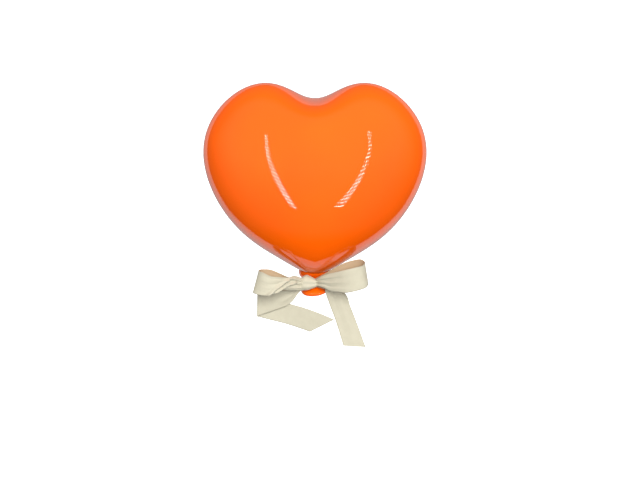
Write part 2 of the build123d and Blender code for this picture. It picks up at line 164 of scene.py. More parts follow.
KNOT = (
    ((-9.0, -9.0, -107.5), (-10.0, -9.0, -114.7), 0.2),
    ((-11.6, -11.0, -106.1), (-12.8, -11.0, -116.3), 0.3),
    ((-12.0, -13.5, -104.4), (-13.2, -13.5, -117.5), 0.4),
    ((-8.9, -15.0, -101.7), (-10.5, -15.5, -117.2), 0.5),
    ((-5.5, -15.5, -102.6), (-6.0, -16.0, -116.4), 0.5),
    ((-0.5, -16.0, -105.1), (-0.5, -16.3, -114.2), 0.4),
    ((4.4, -15.5, -108.0), (4.2, -15.8, -112.2), 0.25),
    ((6.5, -13.0, -109.3), (6.3, -13.0, -111.5), 0.15),
    ((4.0, -11.0, -109.0), (4.0, -11.0, -113.1), 0.15),
)
# How far round the knot's rounded section its strip reaches, from behind its top to behind its foot.
KNOT_WRAP = (math.radians(-35.0), math.radians(215.0))
KNOT_BULGE = 0.4  # how far the section stands out, as a share of its height

# The turn round the neck is folded up and down on itself: its layers and the gap between two of them.
BAND_FOLDS = 5
FOLD_GAP = 0.17
# Section of one layer: how far it stands out, and its height as a share. The folds reach a little higher.
BAND_SECTION = ((0.02, -0.86), (0.0, -0.3), (0.01, 0.4), (0.02, 0.86))
FOLD_REACH = 0.98
BAND_THICKNESS = 0.00012

# Flat lengths of the stretches of ribbon. The left tail's is its longer edge: its end is cut slanting.
KNOT_FLAT = 0.03
LEFT_LOOP_FLAT = 0.115
RIGHT_LOOP_FLAT = 0.125
LEFT_TAIL_FLAT = 0.138
LEFT_TAIL_AREA = 0.0032
RIGHT_TAIL_FLAT = 0.084

# Pleats pressed into the left loop: both ends as shares of its length and width, height, half breadth.
LEFT_PLEATS = (
    (0.66, 0.98, 0.80, 0.22, 2.4, 0.10),
    (0.73, 1.00, 0.90, 0.42, 2.0, 0.10),
    (0.82, 0.08, 1.00, 0.35, 1.3, 0.08),
)

# Neck and lip: distance from the axis and height, down the outside and back up the mouth.
NECK_PROFILE = (
    (0.0, -95.0), (12.0, -95.2), (15.6, -96.6), (16.5, -98.6), (16.45, -100.6), (16.4, -102.6),
    (16.1, -104.6), (15.4, -106.2), (14.4, -107.3), (13.0, -108.1), (10.4, -108.9), (8.9, -109.4),
    (8.5, -110.2), (8.5, -113.0), (8.6, -114.8), (9.5, -116.4), (11.2, -117.8), (12.9, -118.7),
    (13.9, -119.5), (14.3, -120.6), (14.0, -121.8), (12.9, -122.6), (11.4, -122.5), (9.9, -121.8),
    (8.4, -121.0), (6.8, -119.9), (5.6, -118.0), (5.4, -114.5), (5.2, -110.5), (0.0, -109.7),
)
# The neck is flat above the ribbon: its depth as a share of its width, by height.
NECK_FLATNESS = (
    (-94.0, 0.9), (-98.6, 0.9), (-101.0, 0.865), (-102.6, 0.8), (-104.6, 0.71), (-106.2, 0.64),
    (-107.3, 0.64), (-108.1, 0.69), (-109.2, 0.99), (-110.0, 1.0),
)
# The lip leans more and more from LIP_START down, about LIP_LEVEL, by its tilt and roll in degrees.
LIP_START = -115.2
LIP_LEVEL = -121.0
LIP_EASE = 1.5
LIP_TILT = 9.0
LIP_ROLL = -7.0
# Gathers where the ribbon pulls the neck in: level, reach up and down, height as a share, and number.
GATHER_LEVEL = -112.5
GATHER_REACH = 4.5
GATHER_SWELL = 0.018
GATHERS = 13

# Two rows of small strip lamps in front: the outer and inner ends of each row, along the row.
LAMP_ROWS = (
    (
        ((-0.83, -1.201, 0.631), (-0.87, -1.335, 0.165), (-0.769, -1.373, -0.345), (-0.526, -1.319, -0.772)),
        ((-0.775, -1.221, 0.656), (-0.803, -1.377, 0.148), (-0.649, -1.424, -0.383), (-0.404, -1.35, -0.791)),
        21,
    ),
    (
        ((0.847, -1.133, 0.72), (0.921, -1.305, 0.145), (0.744, -1.37, -0.398), (0.418, -1.358, -0.779)),
        ((0.915, -1.108, 0.694), (0.979, -1.257, 0.157), (0.869, -1.311, -0.359), (0.595, -1.283, -0.781)),
        20,
    ),
)
LAMP_THICKNESS = 0.013

# Fullness of the two domes, as the power that their section follows, and the cuts that divide their ball.
FRONT_POWER = 2
BACK_POWER = 4
FRONT_CUTS = 95
BACK_CUTS = 63
TRIM_CUTS = 31
TRIM_SHARE = 0.9  # how much of the back's depth the shape that trims the tray fills

POCKET_MARGIN = 0.006
POCKET_CORNER = 0.005
POCKET_OVERCUT = 0.004
TRAY_CORNER = 0.008
PAD_RADIUS = 0.006
PAD_BEVEL = 0.0009
SEAT_RADIUS = 0.007
SEAT_DEPTH = 0.004
SEAT_BEVEL = 0.0006
STRAP_THICKNESS = 0.0009
RECESS_DEPTH = 0.0009

# The camera looks at a point a little beside the middle of the heart and below it.
TARGET_ASIDE = 0.005
TARGET_DROP = 0.0695
FLOOR_HEIGHT = -0.75
FLOOR_REACH = 40.0
KEY_FROM = (0.12, -1.0, 0.42)
KEY_SPREAD = 30.0

CURVE_END = 0.99999  # just short of a curve's last point
STEP = 0.0005  # from a point to the ones that give the direction there


# ---------------------------------------------------------------- settings

COLOUR = {"size": 3, "min": 0, "max": 1, "subtype": "COLOR"}


class ORNAMENT_PG_heart(bpy.types.PropertyGroup):
    """Sizes and colour of the heart, its neck and its lip."""

    front_depth: bpy.props.FloatProperty(
        name="Front Depth",
        description="How far the front dome stands out from the widest outline",
        default=FRONT_HIGH.y - FRONT_LOW.y,
        subtype="DISTANCE",
    )
    back_depth: bpy.props.FloatProperty(
        name="Back Depth",
        description="How far the flatter back reaches from the widest outline to the wall side",
        default=BACK_HIGH.y - FRONT_HIGH.y,
        subtype="DISTANCE",
    )
    wall: bpy.props.FloatProperty(
        name="Wall",
        description="Thickness of the two shells",
        default=0.003,
        subtype="DISTANCE",
    )
    colour: bpy.props.FloatVectorProperty(
        name="Gloss Colour",
        description="Colour of the glossy heart and its lip",
        default=(0.9, 0.115, 0.0014),
        **COLOUR,
    )
    deep_colour: bpy.props.FloatVectorProperty(
        name="Deep Gloss Colour",
        description="Colour where the coat lies a little thicker",
        default=(0.83, 0.099, 0.0012),
        **COLOUR,
    )


class ORNAMENT_PG_ribbon(bpy.types.PropertyGroup):
    """Sizes and colours of the satin ribbon."""

    width: bpy.props.FloatProperty(
        name="Ribbon Width",
        description="Width of the ribbon before it is tied",
        default=0.025,
        subtype="DISTANCE",
    )
    thickness: bpy.props.FloatProperty(
        name="Ribbon Thickness",
        description="Thickness of the woven ribbon",
        default=0.00028,
        subtype="DISTANCE",
    )
    colour: bpy.props.FloatVectorProperty(
        name="Satin Colour",
        description="Colour of the raised threads",
        default=(0.5, 0.47, 0.36),
        **COLOUR,
    )
    shade: bpy.props.FloatVectorProperty(
        name="Satin Shade",
        description="Colour between the threads and along the edges",
        default=(0.42, 0.39, 0.29),
        **COLOUR,
    )
    # Painted light and shade: a darker peach for the loops' inner faces, standing for the orange light the
    # heart bounces on them.
    bounce_shade: bpy.props.FloatVectorProperty(
        name="Painted Bounce Colour",
        description="Colour of the satin's inner face in the loops",
        default=(0.43, 0.31, 0.19),
        **COLOUR,
    )


class ORNAMENT_PG_hanger(bpy.types.PropertyGroup):
    """Colours of the metal hanger and the pads."""

    steel: bpy.props.FloatVectorProperty(
        name="Steel Colour",
        description="Colour of the plated strap, ring and screws",
        default=(0.62, 0.61, 0.58),
        **COLOUR,
    )
    pad_colour: bpy.props.FloatVectorProperty(
        name="Pad Colour",
        description="Colour of the clear pads on the back",
        default=(0.86, 0.87, 0.85),
        **COLOUR,
    )


class ORNAMENT_PG_stage(bpy.types.PropertyGroup):
    """Camera, floor and light."""

    distance: bpy.props.FloatProperty(
        name="Camera Distance",
        description="How far the camera stands from the middle of the ornament",
        default=1.778,
        subtype="DISTANCE",
    )
    elevation: bpy.props.FloatProperty(
        name="Camera Elevation",
        description="How far above level the camera looks from",
        default=math.radians(14.0),
        subtype="ANGLE",
    )
    lens: bpy.props.FloatProperty(
        name="Lens",
        description="Focal length of the camera",
        default=100.0,
        subtype="DISTANCE_CAMERA",
    )
    key: bpy.props.FloatProperty(
        name="Key Strength",
        description="Strength of the soft light from the front",
        default=4.4,
        min=0,
    )
    lamp: bpy.props.FloatProperty(
        name="Lamp Strength",
        description="Brightness of the small strip lamps that the gloss mirrors",
        default=38.0,
        min=0,
    )


# ---------------------------------------------------------------- mesh helpers


def curve_at(points, places, u):
    """Smooth curve through vectors that stand at rising places, read at u."""
    last = len(places) - 1
    i = next((k for k in range(last) if u < places[k + 1]), last - 1)
    before, after = max(i - 1, 0), min(i + 2, last)
    span = places[i + 1] - places[i]
    t = (u - places[i]) / span
    start = (points[i + 1] - points[before]) * (span / (places[i + 1] - places[before]))
    end = (points[after] - points[i]) * (span / (places[after] - places[i]))
    return (
        points[i] * (2 * t**3 - 3 * t**2 + 1)
        + start * (t**3 - 2 * t**2 + t)
        + points[i + 1] * (3 * t**2 - 2 * t**3)
        + end * (t**3 - t**2)
    )


def smooth(mesh, sharp):
    """Shades a mesh smooth, except at edges sharper than an angle in degrees."""
    mesh.shade_smooth()
    mesh.set_sharp_from_angle(angle=math.radians(sharp))


def new_piece(bm, name, material, sharp=35.0):
    """Object made of a bmesh, smooth except at its sharp edges."""
    mesh = bpy.data.meshes.new(name)
    bm.to_mesh(mesh)
    bm.free()
    smooth(mesh, sharp)
    mesh.materials.append(material)
    piece = bpy.data.objects.new(name, mesh)
    bpy.context.scene.collection.objects.link(piece)
    return piece


def dress(piece, material, sharp):
    """Gives a piece one material, and smooth shading except at its sharp edges."""
    piece.data.materials.clear()
    piece.data.materials.append(material)
    smooth(piece.data, sharp)


def settle(piece, sharp=None):
    """Turns a piece's modifiers into its mesh."""
    bpy.context.view_layer.update()
    seen = piece.evaluated_get(bpy.context.evaluated_depsgraph_get())
    mesh = bpy.data.meshes.new_from_object(seen)
    piece.modifiers.clear()
    piece.data = mesh
    if sharp is not None:
        smooth(mesh, sharp)
    return piece


def carve(piece, tools, operation):
    """Joins closed shapes to a piece, takes them out of it or keeps what they share."""
    for tool in tools:
        step = piece.modifiers.new("carve", "BOOLEAN")
        step.operation = operation
        step.solver = "EXACT"
        step.object = tool
    settle(piece)
    for tool in tools:
        bpy.data.objects.remove(tool)


def spun(profile, axis_point, axis, steps, material, name):
    """Solid spun from a profile of distances and heights along an upright axis."""
    bm = bmesh.new()
    verts = [bm.verts.new(axis_point + Vector((r, 0, h)) * MM) for r, h in profile]
    edges = [bm.edges.new(pair) for pair in zip(verts, verts[1:])]
    bmesh.ops.spin(
        bm,
        geom=verts + edges,
        cent=axis_point,
        axis=axis,
        angle=FULL_TURN,
        steps=steps,
        use_merge=True,
    )
    bmesh.ops.remove_doubles(bm, verts=bm.verts, dist=1e-6)
    bmesh.ops.recalc_face_normals(bm, faces=bm.faces)
    return new_piece(bm, name, material)


# ---------------------------------------------------------------- materials


class Nodes:
    """Short ways to add nodes to a tree. A value may be a socket, which is then linked."""

    def __init__(self, tree):
        self.tree = tree

    def put(self, socket, value):
        """Links a socket or sets its value."""
        if isinstance(value, bpy.types.NodeSocket):
            self.tree.links.new(value, socket)
        else:
            socket.default_value = value

    def fill(self, node, **values):
        """Links or sets a node's inputs by name."""
        for key, value in values.items():
            self.put(node.inputs[key.replace("_", " ")], value)

    def add(self, kind, **values):
        """New node with its properties and inputs."""
        node = self.tree.nodes.new(kind)
        for key, value in values.items():
            if hasattr(node, key):
                setattr(node, key, value)
            else:
                self.fill(node, **{key: value})
        return node

    def maths(self, operation, *values):
        """Result of one sum."""
        node = self.add("ShaderNodeMath", operation=operation)
        for socket, value in zip(node.inputs, values):
            self.put(socket, value)
        return node.outputs["Value"]

    def place(self):
        """Place on the object."""
        return self.add("ShaderNodeTexCoord").outputs["Object"]

    def stretched(self, place, scale):
        """Place with each of its axes scaled."""
        return self.add("ShaderNodeMapping", Vector=place, Scale=scale).outputs["Vector"]

    def noise(self, place, scale, detail, roughness):
        """Cloudy noise."""
        node = self.add("ShaderNodeTexNoise", Vector=place, Scale=scale, Detail=detail, Roughness=roughness)
        return node.outputs["Fac"]

    def threads(self, place, direction, scale, distortion):
        """Fine lines side by side along X or Y."""
        node = self.add(
            "ShaderNodeTexWave",
            wave_type="BANDS",
            bands_direction=direction,
            Vector=place,
            Scale=scale,
            Distortion=distortion,
            Detail=1.0,
        )
        return node.outputs["Fac"]

    def spread(self, value, low, high, first=0.0, last=1.0):
        """Value drawn out from low..high to first..last, and held beyond."""
        ends = {"From_Min": low, "From_Max": high, "To_Min": first, "To_Max": last}
        return self.add("ShaderNodeMapRange", Value=value, **ends).outputs["Result"]

    def between(self, factor, first, last):
        """Value between two values."""
        return self.add("ShaderNodeMix", data_type="FLOAT", Factor=factor, A=first, B=last).outputs["Result"]

    def tint(self, factor, first, last):
        """Colour between two colours."""
        node = self.add("ShaderNodeMix", data_type="RGBA", Factor=factor, A=(*first, 1), B=(*last, 1))
        return node.outputs["Result"]

    def bump(self, height, strength, distance):
        """Surface direction of a fine relief."""
        node = self.add("ShaderNodeBump", Height=height, Strength=strength, Distance=distance)
        return node.outputs["Normal"]


def new_material(name):
    """New material with its shader and its nodes."""
    material = bpy.data.materials.new(name)
    material.use_nodes = True
    return material, material.node_tree.nodes["Principled BSDF"], Nodes(material.node_tree)


def gloss(name, colour, deep_colour):
    """Thick glossy coat: nearly even colour, a faint peel in the surface, a little haze in places."""
    material, shader, nodes = new_material(name)
    place = nodes.place()
    clouds = nodes.noise(place, 9.0, 3.0, 0.5)
    haze = nodes.noise(place, 38.0, 4.0, 0.6)
    peel = nodes.noise(place, 140.0, 2.0, 0.4)
    nodes.fill(
        shader,
        Base_Color=nodes.tint(nodes.spread(clouds, 0.3, 0.62), deep_colour, colour),
        Roughness=nodes.spread(haze, 0.35, 0.75, 0.01, 0.028),
        Normal=nodes.bump(peel, 0.012, 0.0004),
        IOR=1.5,
    )
    return material


def satin(name, colour, shade, width):
    """Double-faced satin: fine lengthwise threads, closer edges, and a soft sheen across the ribbon."""
    material, shader, nodes = new_material(name)
    place = nodes.add("ShaderNodeUVMap", uv_map="UVMap").outputs["UV"]
    warp = nodes.threads(place, "X", 950.0, 0.6)
    weft = nodes.threads(place, "Y", 620.0, 0.4)
    weave = nodes.maths("MULTIPLY_ADD", weft, 0.3, warp)
    # The slubs are long in the ribbon's length and short across it.
    slubs = nodes.noise(nodes.stretched(place, (1500.0, 60.0, 1.0)), 1.0, 2.0, 0.6)
    across = nodes.add("ShaderNodeSeparateXYZ", Vector=place).outputs["X"]
    from_middle = nodes.maths("ABSOLUTE", nodes.maths("SUBTRACT", across, width / 2))
    edge = nodes.spread(from_middle, width / 2 - 0.0011, width / 2 - 0.0004, 1.0, 0.25)
    tone = nodes.spread(nodes.noise(place, 120.0, 2.0, 0.5), 0.25, 0.75, 0.55, 1.0)
    nodes.fill(
        shader,
        Base_Color=nodes.tint(nodes.maths("MULTIPLY", tone, edge), shade, colour),
        Roughness=nodes.spread(slubs, 0.0, 1.0, 0.34, 0.46),
        Normal=nodes.bump(nodes.maths("ADD", weave, slubs), 0.35, 0.00006),
        Anisotropic=0.5,
        Sheen_Weight=0.25,
        Sheen_Roughness=0.4,
        Sheen_Tint=(1.0, 0.96, 0.86, 1),
    )
    return material


def plated_steel(name, colour, grain):
    """Nickel-plated steel with drawn lines, faint handling marks and duller patches."""
    material, shader, nodes = new_material(name)
    place = nodes.place()
    lines = nodes.noise(nodes.stretched(place, grain), 1.0, 3.0, 0.7)
    patches = nodes.noise(place, 260.0, 4.0, 0.6)
    nodes.fill(
        shader,
        Base_Color=nodes.tint(patches, [0.72 * c for c in colour], colour),
        Roughness=nodes.spread(patches, 0.3, 0.7, 0.2, 0.4),
        Normal=nodes.bump(lines, 0.25, 0.00005),
        Metallic=1.0,
    )
    return material


def clear_pad(name, colour):
    """Soft clear plastic with a fine matt skin and specks of dust."""
    material, shader, nodes = new_material(name)
    dust = nodes.noise(nodes.place(), 900.0, 2.0, 0.7)
    nodes.fill(
        shader,
        Base_Color=(*colour, 1),
        Roughness=nodes.spread(dust, 0.4, 0.7, 0.15, 0.4),
        Normal=nodes.bump(dust, 0.15, 0.0001),
        Transmission_Weight=0.6,
        IOR=1.45,
    )
    return material


# ---------------------------------------------------------------- heart


def heart_shell(name, depth, power, facing, wall, material, cuts):
    """One half of the heart: a ball of even squares, drawn out, cut at the rim and given a wall."""
    bm = bmesh.new()
    bmesh.ops.create_cube(bm, size=2.0)
    bmesh.ops.subdivide_edges(bm, edges=bm.edges, cuts=cuts, use_grid_fill=True)
    for vert in bm.verts:
        ball = vert.co.normalized()
        level = min(math.hypot(ball.x, ball.z), 1.0)
        turn = math.atan2(ball.x, ball.z)
        x, z = heart_point(turn, level, HALF_WIDTH, HALF_HEIGHT)
        y = depth * math.sqrt(max(0.0, 1 - level**power))
        vert.co = CENTRE + Vector((x, math.copysign(y, ball.y) if abs(ball.y) > 1e-6 else 0.0, z))
    bmesh.ops.bisect_plane(
        bm,
        geom=bm.verts[:] + bm.edges[:] + bm.faces[:],
        dist=1e-6,
        plane_co=CENTRE,
        plane_no=(0, -facing, 0),
        clear_outer=True,
    )
    bmesh.ops.recalc_face_normals(bm, faces=bm.faces)
    out = Vector((0, facing, 0))
    if sum(face.normal.dot(out) for face in bm.faces) < 0:
        bmesh.ops.reverse_faces(bm, faces=bm.faces)
    bmesh.ops.solidify(bm, geom=bm.faces[:], thickness=wall)
    return new_piece(bm, name, material, sharp=40.0)


def tool(bm, name):
    """Shape that only joins or cuts another."""
    return new_piece(bm, name, bpy.data.materials.get("tool") or bpy.data.materials.new("tool"))


def add_disc(bm, middle, radius, thickness):
    """Adds a disc that faces the wall, and returns its corners."""
    place = Matrix.Translation(middle) @ Matrix.Rotation(math.pi / 2, 4, "X")
    return bmesh.ops.create_cone(
        bm, cap_ends=True, segments=64, radius1=radius, radius2=radius, depth=thickness, matrix=place
    )["verts"]


def upright_disc(name, centre, radius, thickness, bevel):
    """Round block with rounded rims, from its centre towards the wall."""
    bm = bmesh.new()
    add_disc(bm, centre + Vector((0, thickness / 2, 0)), radius, thickness)
    rims = [e for e in bm.edges if abs(e.calc_face_angle(0)) > 1]
    bmesh.ops.bevel(bm, geom=rims, offset=bevel, segments=4, profile=0.5, affect="EDGES", material=-1)
    return tool(bm, name)


def rounded_block(name, low, high, corner):
    """Block between two corners with its four edges towards the wall rounded."""
    bm = bmesh.new()
    size = high - low
    place = Matrix.Translation((low + high) / 2) @ Matrix.Diagonal((*size, 1))
    bmesh.ops.create_cube(bm, size=1.0, matrix=place)
    uprights = [e for e in bm.edges if abs((e.verts[0].co - e.verts[1].co).normalized().y) > 0.9]
    bmesh.ops.bevel(bm, geom=uprights, offset=corner, segments=10, profile=0.5, affect="EDGES", material=-1)
    return tool(bm, name)


class ORNAMENT_OT_shells(bpy.types.Operator):
    """Build the two glossy halves of the heart, with the hanger pocket in the back."""

    bl_idname = "ornament.shells"
    bl_label = "Build Heart Shells"

    def execute(self, context):
        heart = context.scene.ornament_heart
        coat = gloss("heart_gloss", heart.colour, heart.deep_colour)
        front = heart_shell("heart_front", heart.front_depth, FRONT_POWER, -1, heart.wall, coat, FRONT_CUTS)
        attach(front, "balloon")
        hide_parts("front_shell")

        back = heart_shell("heart_back", heart.back_depth, BACK_POWER, 1, heart.wall, coat, BACK_CUTS)
        strap_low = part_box("hanger_strap")[0]
        ring_low, ring_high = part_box("hanger_ring")
        outside = CENTRE.y + heart.back_depth
        low = Vector((ring_low.x - POCKET_MARGIN, strap_low.y, strap_low.z - POCKET_MARGIN))
        high = Vector((ring_high.x + POCKET_MARGIN, outside, ring_high.z + POCKET_MARGIN))
        grow = Vector((heart.wall, heart.wall, heart.wall))
        tray_high = Vector((high.x + heart.wall, high.y, high.z + heart.wall))
        tray = rounded_block("tray", low - grow, tray_high, TRAY_CORNER)
        # The tray's block is cut to the dome, so that only its inside shows.
        filling = heart.back_depth * TRIM_SHARE
        dome = heart_shell("dome", heart.back_depth, BACK_POWER, 1, filling, coat, TRIM_CUTS)
        carve(tray, [dome], "INTERSECT")
        seat_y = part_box("wall_bumpers")[0].y - SEAT_DEPTH
        seats = [
            upright_disc("seat", Vector((x, seat_y, z)), SEAT_RADIUS, SEAT_DEPTH, SEAT_BEVEL)
            for x, z in pad_places()
        ]
        carve(back, [tray, *seats], "UNION")
        pocket = rounded_block("pocket", low, high + Vector((0, POCKET_OVERCUT, 0)), POCKET_CORNER)
        carve(back, [pocket], "DIFFERENCE")
        dress(back, coat, 32)
        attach(back, "balloon")
        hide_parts("back_shell")
        return {"FINISHED"}


def pad_places():
    """Middles of the pads on the back, read from the frame."""
    low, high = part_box("wall_bumpers")
    upper = high.z - PAD_RADIUS
    lower = low.z + PAD_RADIUS
    return ((low.x + PAD_RADIUS, upper), (high.x - PAD_RADIUS, upper), ((low.x + high.x) / 2, lower))


def flatness(height):
    """Depth of the neck as a share of its width, at a height."""
    for (above, first), (below, second) in zip(NECK_FLATNESS, NECK_FLATNESS[1:]):
        if height > below:
            return first + (second - first) * min(max((above - height) / (above - below), 0.0), 1.0)
    return 1.0


class ORNAMENT_OT_neck(bpy.types.Operator):
    """Build the neck below the heart, its flare and the rolled lip with an open mouth."""

    bl_idname = "ornament.neck"
    bl_label = "Build Neck and Lip"

    def execute(self, context):
        heart = context.scene.ornament_heart
        coat = gloss("neck_gloss", heart.colour, heart.deep_colour)
        neck = spun(NECK_PROFILE, CENTRE.copy(), (0, 0, 1), 72, coat, "balloon_lip")
        pivot = at(0, 0, LIP_LEVEL)
        tilt = Matrix.Rotation(math.radians(LIP_TILT), 3, "X")
        lean = tilt @ Matrix.Rotation(math.radians(LIP_ROLL), 3, "Y")
        for vert in neck.data.vertices:
            height = (vert.co.z - CENTRE.z) / MM
            vert.co.y = CENTRE.y + (vert.co.y - CENTRE.y) * flatness(height)
            part = min(max((LIP_START - height) / (LIP_START - LIP_LEVEL + LIP_EASE), 0.0), 1.0)
            bent = pivot + lean @ (vert.co - pivot)
            vert.co = vert.co.lerp(bent, part * part * (3 - 2 * part))
            # Soft gathers run down the neck where the ribbon pulls it in.
            spoke = vert.co - at(0, 0, 0)
            turn = math.atan2(spoke.y, spoke.x)
            gather = math.exp(-(((height - GATHER_LEVEL) / GATHER_REACH) ** 2))
            swell = 1 + GATHER_SWELL * gather * math.sin(GATHERS * turn)
            vert.co.x = CENTRE.x + (vert.co.x - CENTRE.x) * swell
            vert.co.y = CENTRE.y + (vert.co.y - CENTRE.y) * swell
        finer = neck.modifiers.new("finer", "SUBSURF")
        finer.levels = finer.render_levels = 2
        settle(neck, sharp=60.0)
        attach(neck, "balloon")
        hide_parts("neck_and_lip")
        return {"FINISHED"}


# ---------------------------------------------------------------- ribbon


def pleat_height(pleats, share, t, aspect):
    """Height of the pleats at a share of the ribbon's length and width."""
    height = 0.0
    spot = Vector((share * aspect, t))
    for share_a, t_a, share_b, t_b, rise, breadth in pleats:
        start = Vector((share_a * aspect, t_a))
        run = Vector((share_b * aspect, t_b)) - start
        along = min(max((spot - start).dot(run) / run.length_squared, 0.0), 1.0)
        height += rise * math.exp(-(((spot - start - run * along).length / breadth) ** 2))
    return height


def ribbon(
    name,
    edges,
    materials,
    size,
    bounce_side=0,
    gathers=3.0,
    drift=0.0,
    crease=None,
    pleats=(),
    wrap=None,
    cut=None,
    along=180,
    across=28,
):
    """Strip of ribbon that follows its two edges, with gathers that fade along it.

    Its second material, painted orange bounce light and shade for the inner faces of the loops, is on the
    side that faces out, the run crossed with the way down, where the side flag is 1, and on the other side
    where it is -1.
    """
    upper = [at(*row[0]) for row in edges]
    lower = [at(*row[1]) for row in edges]
    ruck = [Vector((row[2] * MM, 0, 0)) for row in edges]
    middles = [(a + b) / 2 for a, b in zip(upper, lower)]
    places = [0.0]
    for a, b in zip(middles, middles[1:]):
        places.append(places[-1] + (b - a).length)
    length = places[-1]
    bm = bmesh.new()
    bmesh.ops.create_grid(bm, x_segments=along, y_segments=across, size=1.0)
    uv = bm.loops.layers.uv.new("UVMap")
    for face in bm.faces:
        for loop in face.loops:
            co = loop.vert.co
            loop[uv].uv = ((co.y + 1) / 2 * size.width, (co.x + 1) / 2 * length)
    for vert in bm.verts:
        u = min((vert.co.x + 1) / 2 * length, length * CURVE_END)
        t = (vert.co.y + 1) / 2
        a, b = curve_at(upper, places, u), curve_at(lower, places, u)
        ahead = min(u + STEP, length * CURVE_END)
        behind = ahead - 2 * STEP
        run = (curve_at(middles, places, ahead) - curve_at(middles, places, behind)).normalized()
        out = run.cross(b - a).normalized()
        lift = curve_at(ruck, places, u).x * (
            math.sin(FULL_TURN * (gathers * t + drift * u / length))
            + 0.35 * math.sin(FULL_TURN * (2.3 * gathers * t + 0.31 - drift * u / length))
        )
        lift -= pleat_height(pleats, u / length, t, length / size.width) * MM
        if crease:
            lift += crease(t, u / length) * MM
        if wrap:
            turn = wrap[0] + (wrap[1] - wrap[0]) * t
            bulge = KNOT_BULGE * (b - a).length * math.sin(turn)
            t = (1 - math.cos(turn)) / 2
            lift = lift * max(math.sin(turn), 0.0) - bulge
        vert.co = a.lerp(b, t) + out * lift
    if cut:
        first, second = at(*cut[0]), at(*cut[1])
        beyond = (second - first).cross(Vector((0, 1, 0)))
        if beyond.dot(upper[0] - first) > 0:
            beyond.negate()
        bmesh.ops.bisect_plane(
            bm,
            geom=bm.verts[:] + bm.edges[:] + bm.faces[:],
            dist=1e-6,
            plane_co=first,
            plane_no=beyond,
            clear_outer=True,
        )
    if bounce_side > 0:
        bmesh.ops.reverse_faces(bm, faces=bm.faces)
    piece = new_piece(bm, name, materials[0], sharp=80.0)
    for material in materials[1:]:
        piece.data.materials.append(material)
    body = piece.modifiers.new("body", "SOLIDIFY")
    body.thickness = size.thickness
    body.offset = 0.0
    body.material_offset = len(materials) - 1
    return settle(piece)


def satin_piece(context, name, node, edges, flat_length, flat_area=None, bounce_side=0, **shape):
    """Ribbon piece with its satin and its place on the frame; its flat size is not used."""
    size = context.scene.ornament_ribbon
    cloths = [satin(name + "_satin", size.colour, size.shade, size.width)]
    # The loops' inner faces get a second satin coloured with painted orange bounce light and shade.
    if bounce_side:
        cloths.append(satin(name + "_lining", size.bounce_shade, size.bounce_shade, size.width))
    piece = ribbon(name, edges, cloths, size, bounce_side=bounce_side, **shape)
    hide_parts(node)
    return piece


class ORNAMENT_OT_loops(bpy.types.Operator):
    """Build the two loops of the bow."""

    bl_idname = "ornament.loops"
    bl_label = "Build Bow Loops"

    def execute(self, context):
        left = satin_piece(
            context,
            "ribbon_loop_left",
            "bow_loop_left",
            LEFT_LOOP,
            LEFT_LOOP_FLAT,
            bounce_side=1,
            drift=1.4,
            pleats=LEFT_PLEATS,
        )
        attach(left, "balloon")
        right = satin_piece(
            context,
            "ribbon_loop_right",
            "bow_loop_right",
            RIGHT_LOOP,
            RIGHT_LOOP_FLAT,
            bounce_side=-1,
            drift=-0.4,
        )
        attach(right, "balloon")
        return {"FINISHED"}


class ORNAMENT_OT_tails(bpy.types.Operator):
    """Build the two tails, which run down from the knot."""

    bl_idname = "ornament.tails"
    bl_label = "Build Tails"

    def execute(self, context):
        left = satin_piece(
            context,
            "ribbon_tail_left",
            "tail_left",
            LEFT_TAIL,
            LEFT_TAIL_FLAT,
            flat_area=LEFT_TAIL_AREA,
            drift=0.3,
            cut=LEFT_CUT,
        )
        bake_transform(left)

        def valley(t, share):
            """Fold below the knot, which narrows and closes along the tail, then a faint ridge."""
            fade = max(1 - share / 0.3, 0.0)
            middle = 0.56 + 0.1 * fade
            fold = max(1 - abs(t - middle) / (0.33 * fade), 0.0) if fade > 0 else 0.0
            ridge = math.exp(-(((t - 0.5) / 0.16) ** 2)) * min(share, 1 - fade)
            return 0.5 * ridge - 3.0 * fade * fold

        right = satin_piece(
            context,
            "ribbon_tail_right",
            "tail_right",
            RIGHT_TAIL,
            RIGHT_TAIL_FLAT,
            gathers=2.2,
            crease=valley,
            cut=RIGHT_CUT,
        )
        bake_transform(right)
        return {"FINISHED"}


def band_profile(inner, half):
    """Section of the folded turn, in millimetres: distance from the axis and height, layer over layer."""
    profile = []
    for layer in range(BAND_FOLDS):
        rise = 1 if layer % 2 == 0 else -1
        for swell, z in BAND_SECTION:
            profile.append((inner / MM + layer * FOLD_GAP + swell, rise * z * half / MM))
        if layer < BAND_FOLDS - 1:
            profile.append((inner / MM + (layer + 0.5) * FOLD_GAP, rise * FOLD_REACH * half / MM))
    return profile


def band_cloth(bm, middle, inner, half, width):
    """Lays the cloth's threads along the folded turn, so that each layer takes its share of the width."""
    uv = bm.loops.layers.uv.new("UVMap")
    for face in bm.faces:
        spokes = [loop.vert.co - middle for loop in face.loops]
        turns = [math.atan2(s.y, s.x) for s in spokes]
        if max(turns) - min(turns) > math.pi:
            turns = [t + FULL_TURN if t < 0 else t for t in turns]
        for loop, spoke, turn in zip(face.loops, spokes, turns):
            layer = round((math.hypot(spoke.x, spoke.y) - inner) / (FOLD_GAP * MM))
            rise = 1 if layer % 2 == 0 else -1
            share = (layer + (1 + rise * spoke.z / half) / 2) / BAND_FOLDS
            loop[uv].uv = (share * width, turn * inner)


